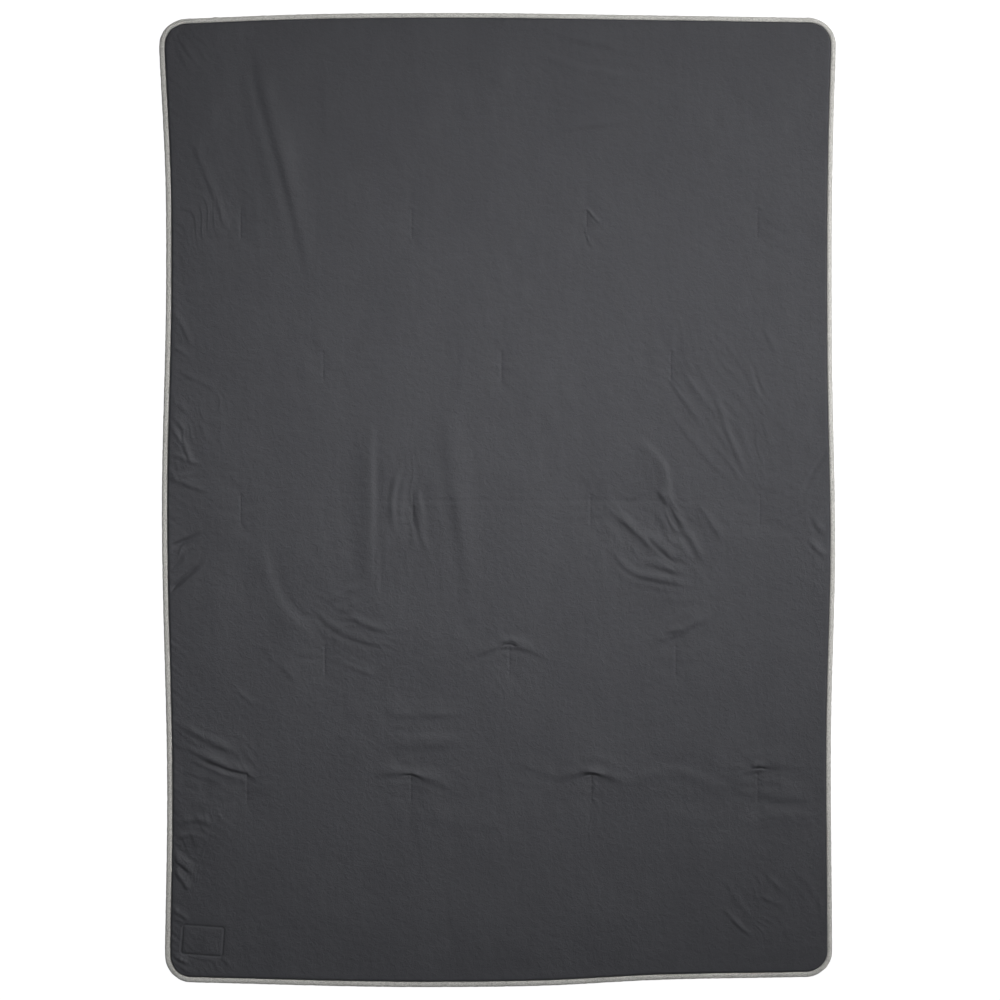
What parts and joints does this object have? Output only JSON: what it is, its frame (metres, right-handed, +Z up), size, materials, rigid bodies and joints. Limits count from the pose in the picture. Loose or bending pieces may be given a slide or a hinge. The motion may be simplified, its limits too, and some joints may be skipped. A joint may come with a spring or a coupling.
{
  "type": "camp quilt",
  "caption": "Padded camping quilt laid flat: charcoal fabric covers, tie tacks in staggered rows and a corded heather grey piped edge with rounded corners.",
  "frame": {"origin": "centre of the quilt's underside, at the height of the surface that it lies on", "axes": "+X across the quilt's width, +Y along its length towards the head end, +Z up out of the top cover"},
  "size_m": [1.27, 1.829, 0.014],
  "materials": {
    "cover_fabric": "soft brushed charcoal knit",
    "underside_fabric": "matte dark charcoal weave",
    "batting_fibre": "white polyester wadding",
    "piping_fabric": "light heather grey jersey",
    "cord_cotton": "twisted cotton filler cord",
    "sewing_thread": "charcoal polyester thread",
    "patch_fabric": "plain dark grey twill"
  },
  "bodies": {
    "root": {"top_cover": "cover_fabric", "bottom_cover": "underside_fabric", "batting": "batting_fibre", "piping_cover": "piping_fabric", "piping_cord": "cord_cotton", "seam_needle_thread": "sewing_thread", "seam_bobbin_thread": "sewing_thread", "tack_row1_1": "sewing_thread", "tack_row1_2": "sewing_thread", "tack_row1_3": "sewing_thread", "tack_row1_4": "sewing_thread", "tack_row2_1": "sewing_thread", "tack_row2_2": "sewing_thread", "tack_row2_3": "sewing_thread", "tack_row3_1": "sewing_thread", "tack_row3_2": "sewing_thread", "tack_row3_3": "sewing_thread", "tack_row3_4": "sewing_thread", "tack_row4_1": "sewing_thread", "tack_row4_2": "sewing_thread", "tack_row4_3": "sewing_thread", "tack_row5_1": "sewing_thread", "tack_row5_2": "sewing_thread", "tack_row5_3": "sewing_thread", "tack_row5_4": "sewing_thread", "patch": "patch_fabric", "patch_stitching": "sewing_thread"}
  },
  "joints": []
}
